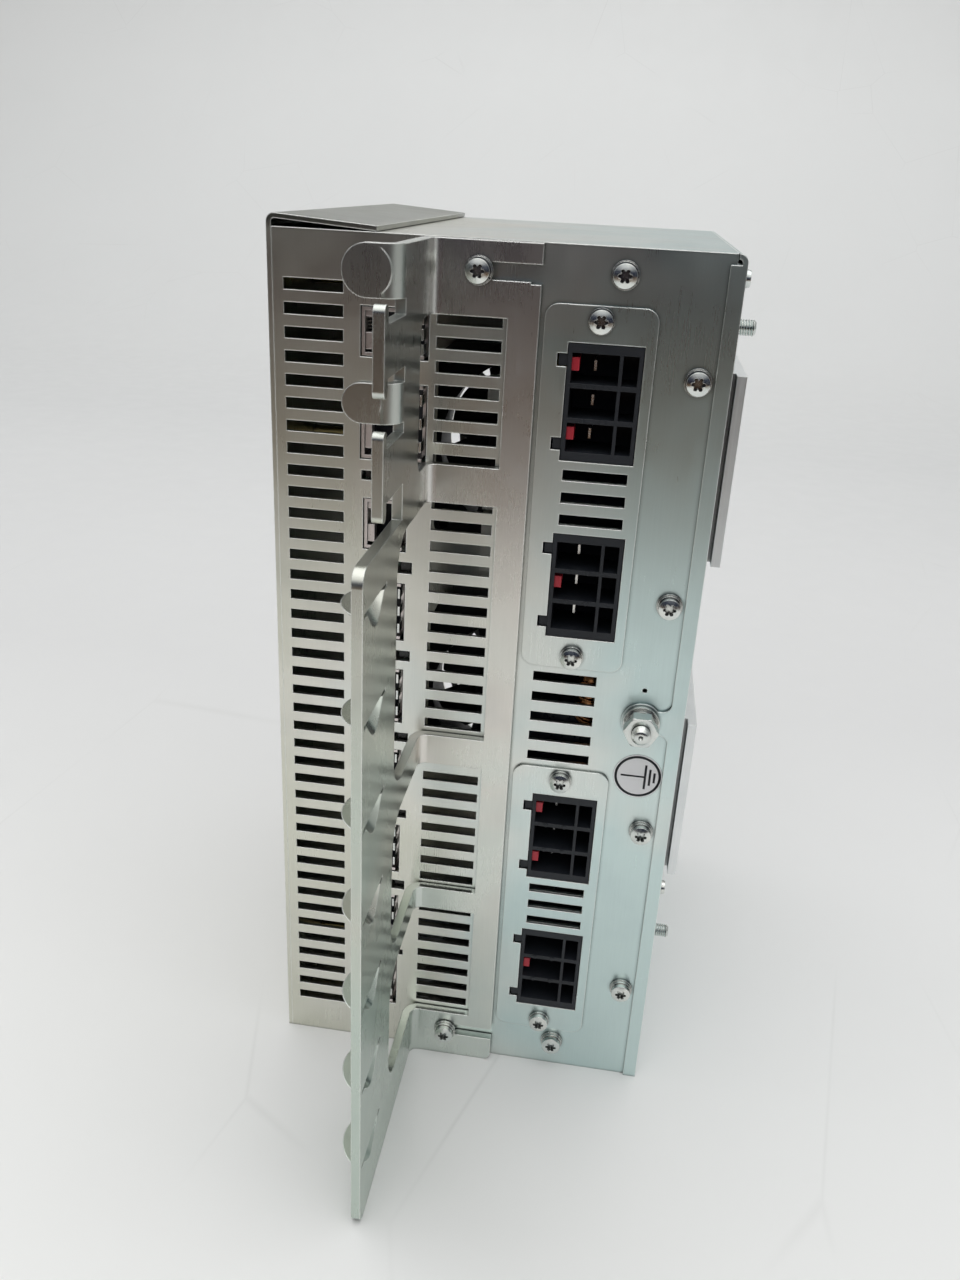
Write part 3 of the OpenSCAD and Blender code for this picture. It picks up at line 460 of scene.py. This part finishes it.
# ---------------------------------------------------------------- wound choke
def winding():
    """One wire wound round the choke's core, with a gap between its two ends."""
    low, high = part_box("filter_choke")
    mid = (low + high) / 2
    core = (high.x - low.x) / 2
    ring = (high.z - low.z) / 2 - core
    wire = 0.5 * MM
    coil = core + 0.9 * wire
    turns, per_turn, sides = 30, 18, 7
    covered = 0.94
    path = []
    for i in range(turns * per_turn):
        phi = FULL_TURN * i / (turns * per_turn) * covered
        theta = FULL_TURN * i / per_turn
        r = ring + coil * math.cos(theta)
        path.append(mid + Vector((coil * math.sin(theta), r * math.cos(phi), r * math.sin(phi))))
    verts, faces = [], []
    for i, point in enumerate(path):
        along = (path[min(i + 1, len(path) - 1)] - path[max(i - 1, 0)]).normalized()
        u = along.orthogonal().normalized() if i == 0 else (u - along * u.dot(along)).normalized()
        v = along.cross(u)
        for j in range(sides):
            a = FULL_TURN * j / sides
            verts.append(point + (u * math.cos(a) + v * math.sin(a)) * wire)
        if i:
            faces += band((i - 1) * sides, i * sides, sides)
    faces += [list(range(sides))[::-1], [len(verts) - sides + j for j in range(sides)]]
    add_piece("choke_winding", verts, faces, "copper_wire")


winding()


# ---------------------------------------------------------------- jack fronts
def jack_fronts():
    """Latch plates at the left of each jack, and a thin dark lining deep inside its shell."""
    shell_width = {"bus_jack": 18.95 * MM, "signal_jack": 12.25 * MM}
    wall = 1.02 * MM
    plate_wide, plate_front, plate_back = 2.2 * MM, 0.5 * MM, 4 * MM
    lining_front, lining_back, thin = 6.5 * MM, 13.9 * MM, 0.3 * MM
    plates, linings = [], []
    for name in sorted(nodes):
        kind = name.rpartition("_")[0]
        if kind not in shell_width:
            continue
        lo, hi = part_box(name)
        left, right = hi.x - shell_width[kind] + wall, hi.x - wall
        bottom, top = lo.z + wall, hi.z - wall
        tall = hi.z - lo.z
        for share in ((0.8, 0.94), (0.13, 0.48)):
            plates.append(((left, lo.y + plate_front, lo.z + share[0] * tall),
                           (left + plate_wide, lo.y + plate_back, lo.z + share[1] * tall)))
        front, back = lo.y + lining_front, lo.y + lining_back
        linings += [((left, back - thin, bottom), (right, back, top)),
                    ((left, front, bottom), (left + thin, back, top)),
                    ((left, front, bottom), (right, back, bottom + thin)),
                    ((left, front, top - thin), (right, back, top))]
    boxes("jack_latch_plates", plates, "jack_shell", 0.12 * MM)
    boxes("jack_linings", linings, "black_plastic", None)


def round_edges(name, radius):
    """Rounds the edges of a CAD node where it stands."""
    rounding = nodes[name].modifiers.new("rounding", "BEVEL")
    rounding.width, rounding.segments = radius, 2


jack_fronts()
round_edges("jack_springs", 0.15 * MM)
round_edges("coding_keys", 0.15 * MM)


# ---------------------------------------------------------------- parts on the boards
def board_parts():
    """Small soldered parts strewn over the boards, clear of the larger ones."""
    rng = random.Random(7)
    tries, gap = 130, 3 * MM
    faces = (("control_board", -1), ("control_board", 1), ("driver_board", -1), ("power_board", -1))
    sizes = ((1.0, 0.6, 0.5), (1.6, 1.0, 0.6), (2.1, 1.6, 0.9), (3.4, 2.4, 1.3))
    large = ["capacitors", "relays", "filter_choke", "control_chips", "jumper_plugs", "power_modules",
             "board_spacers", "bus_jack_1", "bus_jack_2"]
    large += ["signal_jack_%d" % k for k in range(1, 8)] + ["power_connector_%d" % k for k in range(1, 5)]
    taken = [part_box(name) for name in large]
    bodies, ends = [], []
    for board, side in faces:
        lo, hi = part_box(board)
        face = lo.x if side < 0 else hi.x
        for _ in range(tries):
            y = rng.uniform(lo.y + gap, hi.y - gap)
            z = rng.uniform(lo.z + 4 * MM, hi.z - 4 * MM)
            w, h, t = rng.choice(sizes)
            if rng.random() < 0.5:
                w, h = h, w
            if any(a.x - gap < face < b.x + gap and a.y - gap < y < b.y + gap
                   and a.z - gap < z < b.z + gap for a, b in taken):
                continue
            x0, x1 = sorted((face, face + side * t * MM))
            bodies.append(((x0, y - w * MM, z - h * MM), (x1, y + w * MM, z + h * MM)))
            x1 += (0.06 if side > 0 else 0) * MM
            for end in (-1, 1):
                if w > h:
                    y0, y1 = sorted((y + end * 0.72 * w * MM, y + end * 1.12 * w * MM))
                    z0, z1 = z - 0.98 * h * MM, z + 1.04 * h * MM
                else:
                    y0, y1 = y - 0.98 * w * MM, y + 1.04 * w * MM
                    z0, z1 = sorted((z + end * 0.72 * h * MM, z + end * 1.12 * h * MM))
                ends.append(((x0, y0, z0), (x1, y1, z1)))
    boxes("board_part_bodies", bodies, "chip_plastic", None)
    boxes("board_part_ends", ends, "contact_metal", None)


board_parts()


# ---------------------------------------------------------------- floor, backdrop and light
def floor_finish():
    """Matt table: tones that change with depth and height as painted shade (darker further back, lighter
    again up the wall), faint clouds and a few long scratches.
    """
    g = new_graph("floor")
    _, y, z = g.axes()
    # Painted shade: the table darkens with depth and height, and lightens again towards the wall's top.
    tone = g.ramp(g.remap(g.math("ADD", y, z), -0.2, 2.6), (0.0, (0.86, 0.86, 0.85)),
                  (0.07, (0.77, 0.77, 0.765)), (0.16, (0.69, 0.69, 0.69)), (0.43, (0.63, 0.635, 0.635)),
                  (1.0, (0.76, 0.765, 0.755)))
    tone = g.mix(g.remap(g.noise(3, 4), 0.35, 0.7, 0.0, 0.25), tone, (0.93, 0.93, 0.93), "MULTIPLY")
    lines = g.cells(7, "DISTANCE_TO_EDGE", g.stretched((1, 0.35, 1), (0, 0, 0.7)))
    scratch = g.math("MULTIPLY", g.remap(lines, 0.0, 0.006, 1.0, 0.0), g.remap(g.noise(5, 2), 0.5, 0.62))
    tone = g.mix(g.math("MULTIPLY", scratch, 0.35), tone, (0.62, 0.62, 0.61))
    return g.finish(tone, g.remap(g.noise(40, 3), 0.3, 0.7, 0.42, 0.55), g.bump(scratch, 0.2, 0.2 * MM))


def studio():
    """One sheet that lies flat, bends up behind the drive and ends as a wall. Its front edge is near
    the drive, so that the dim room beyond it mirrors in the metal."""
    half_wide, front, bend_start, bend, wall_top = 2.2, -0.74, 1.3, 0.9, 3.2
    profile = [(front, 0.0), (bend_start, 0.0)]
    profile += [(bend_start + bend * math.sin(a), bend - bend * math.cos(a))
                for a in (math.radians(d) for d in range(5, 91, 5))]
    profile += [(bend_start + bend, wall_top)]
    verts = [(x, y, z) for y, z in profile for x in (-half_wide, half_wide)]
    faces = [[2 * i, 2 * i + 1, 2 * i + 3, 2 * i + 2] for i in range(len(profile) - 1)]
    mesh = bpy.data.meshes.new("floor")
    mesh.from_pydata(verts, [], faces)
    mesh.shade_smooth()
    mesh.materials.append(floor_finish())
    floor = bpy.data.objects.new("floor", mesh)
    scene.collection.objects.link(floor)


def sky():
    """Soft surroundings: pale all round, and a dim room beyond the table's front edge."""
    pale_grey = (0.66, 0.67, 0.665)
    world = bpy.data.worlds.new("studio")
    scene.world = world
    g = Graph(world, "Generated")
    x, y, z = g.axes()
    room = g.ramp(g.remap(z, -0.5, 0.7), (0.0, (0.34, 0.26, 0.19)), (0.14, (0.27, 0.19, 0.13)),
                  (0.21, (0.16, 0.096, 0.056)), (0.30, (0.055, 0.034, 0.022)),
                  (0.36, (0.013, 0.014, 0.024)), (0.43, (0.008, 0.014, 0.034)),
                  (0.6, (0.02, 0.028, 0.055)), (0.78, (0.5, 0.51, 0.53)), (0.95, (1.3, 1.3, 1.28)))
    pale = g.ramp(g.remap(z, -0.2, 1.0), (0.0, (0.55, 0.56, 0.56)), (1.0, (0.80, 0.81, 0.81)))
    toward = g.remap(y, -0.25, -0.7)
    sides = g.remap(g.math("ABSOLUTE", x), 0.45, 0.8, 0.0, 0.5)
    light = g.mix(toward, g.mix(sides, pale, (0.2, 0.21, 0.2)), room)
    seen = g.add("ShaderNodeLightPath").outputs["Is Camera Ray"]
    background = g.tree.nodes["Background"]
    g.feed(background.inputs["Color"], g.mix(seen, light, pale_grey))
    background.inputs["Strength"].default_value = 1.0


def area_light(name, place, aim, size, power, colour=(1, 1, 1)):
    """A rectangular light at a place, turned towards its aim."""
    data = bpy.data.lights.new(name, "AREA")
    data.shape, data.energy, data.color = "RECTANGLE", power, colour
    data.size, data.size_y = size
    light = bpy.data.objects.new(name, data)
    light.location = place
    light.rotation_euler = (Vector(aim) - Vector(place)).to_track_quat("-Z", "Y").to_euler()
    scene.collection.objects.link(light)


studio()
sky()
area_light("overhead", (0.1, 0.1, 1.9), (0, 0.05, 0), (2.6, 2.2), 18.5)
area_light("backdrop", (-0.3, 1.0, 1.9), (-0.2, 2.2, 1.3), (3.0, 1.0), 8)
area_light("side", (-1.7, 0.2, 1.0), (0, 0, 0.15), (1.2, 1.4), 3, (0.98, 0.99, 1.0))
scene.view_settings.view_transform = "Standard"
